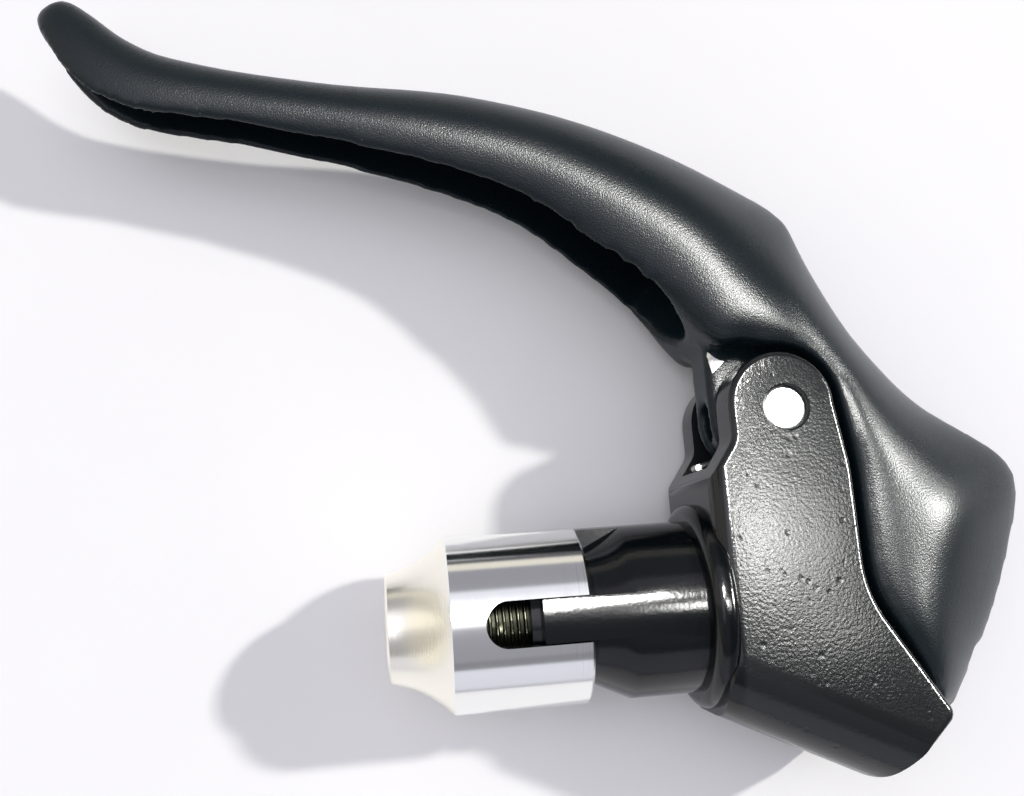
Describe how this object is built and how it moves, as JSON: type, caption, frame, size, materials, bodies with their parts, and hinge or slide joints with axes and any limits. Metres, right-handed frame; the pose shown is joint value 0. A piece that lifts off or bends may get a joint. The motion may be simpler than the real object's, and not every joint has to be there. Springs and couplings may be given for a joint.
{
  "type": "bicycle brake lever",
  "caption": "Bar-end bicycle brake lever: a curved channelled blade and hood on a pivoting cast bracket, held in a handlebar's end by an expanding slotted sleeve.",
  "frame": {"origin": "the point on the plug's axis in the plane of the collar's face that the handlebar's end stops against", "axes": "+X along the plug's axis from the expander's nose to the bracket, +Y from the plug towards the lever's blade, +Z along the pivot pin"},
  "size_m": [0.1109, 0.093, 0.0222],
  "materials": {
    "bracket_paint": "black paint with a fine pebbled surface on cast aluminium",
    "lever_paint": "satin black paint on cast aluminium",
    "sleeve_aluminium": "turned and polished",
    "bolt_steel": "zinc plated",
    "pin_steel": "bright ground",
    "spring_steel": "drawn wire",
    "bush_plastic": "moulded"
  },
  "bodies": {
    "bracket": {"bracket_body": "bracket_paint", "pivot_pin": "pin_steel", "bolt_washer": "bolt_steel", "return_spring": "spring_steel"},
    "lever": {"lever_blade": "lever_paint", "pivot_bush_upper": "bush_plastic", "pivot_bush_lower": "bush_plastic"},
    "bolt": {"expander_bolt": "bolt_steel"},
    "sleeve": {"expander_sleeve": "sleeve_aluminium"}
  },
  "joints": [
    {"name": "lever_pivot", "type": "hinge", "parent": "bracket", "child": "lever", "pos_m": [0.0106, 0.0203, 0], "axis": [0, 0, 1], "range_deg": [0, 35], "stiffness_Nm_per_rad": 0.06, "springref_deg": -68.75, "deforming": ["return_spring"]},
    {"name": "bolt_turn", "type": "hinge", "parent": "bracket", "child": "bolt", "pos_m": [0, 0, 0], "axis": [-1, 0, 0], "range_deg": [-1922, 362]},
    {"name": "sleeve_draw", "type": "slide", "parent": "bracket", "child": "sleeve", "axis": [1, 0, 0], "range_m": [-0.004, 0.00075]}
  ],
  "couplings": [
    {"joint": "bolt_turn", "follows": "sleeve_draw", "rad_per_m": 8377.6}
  ]
}
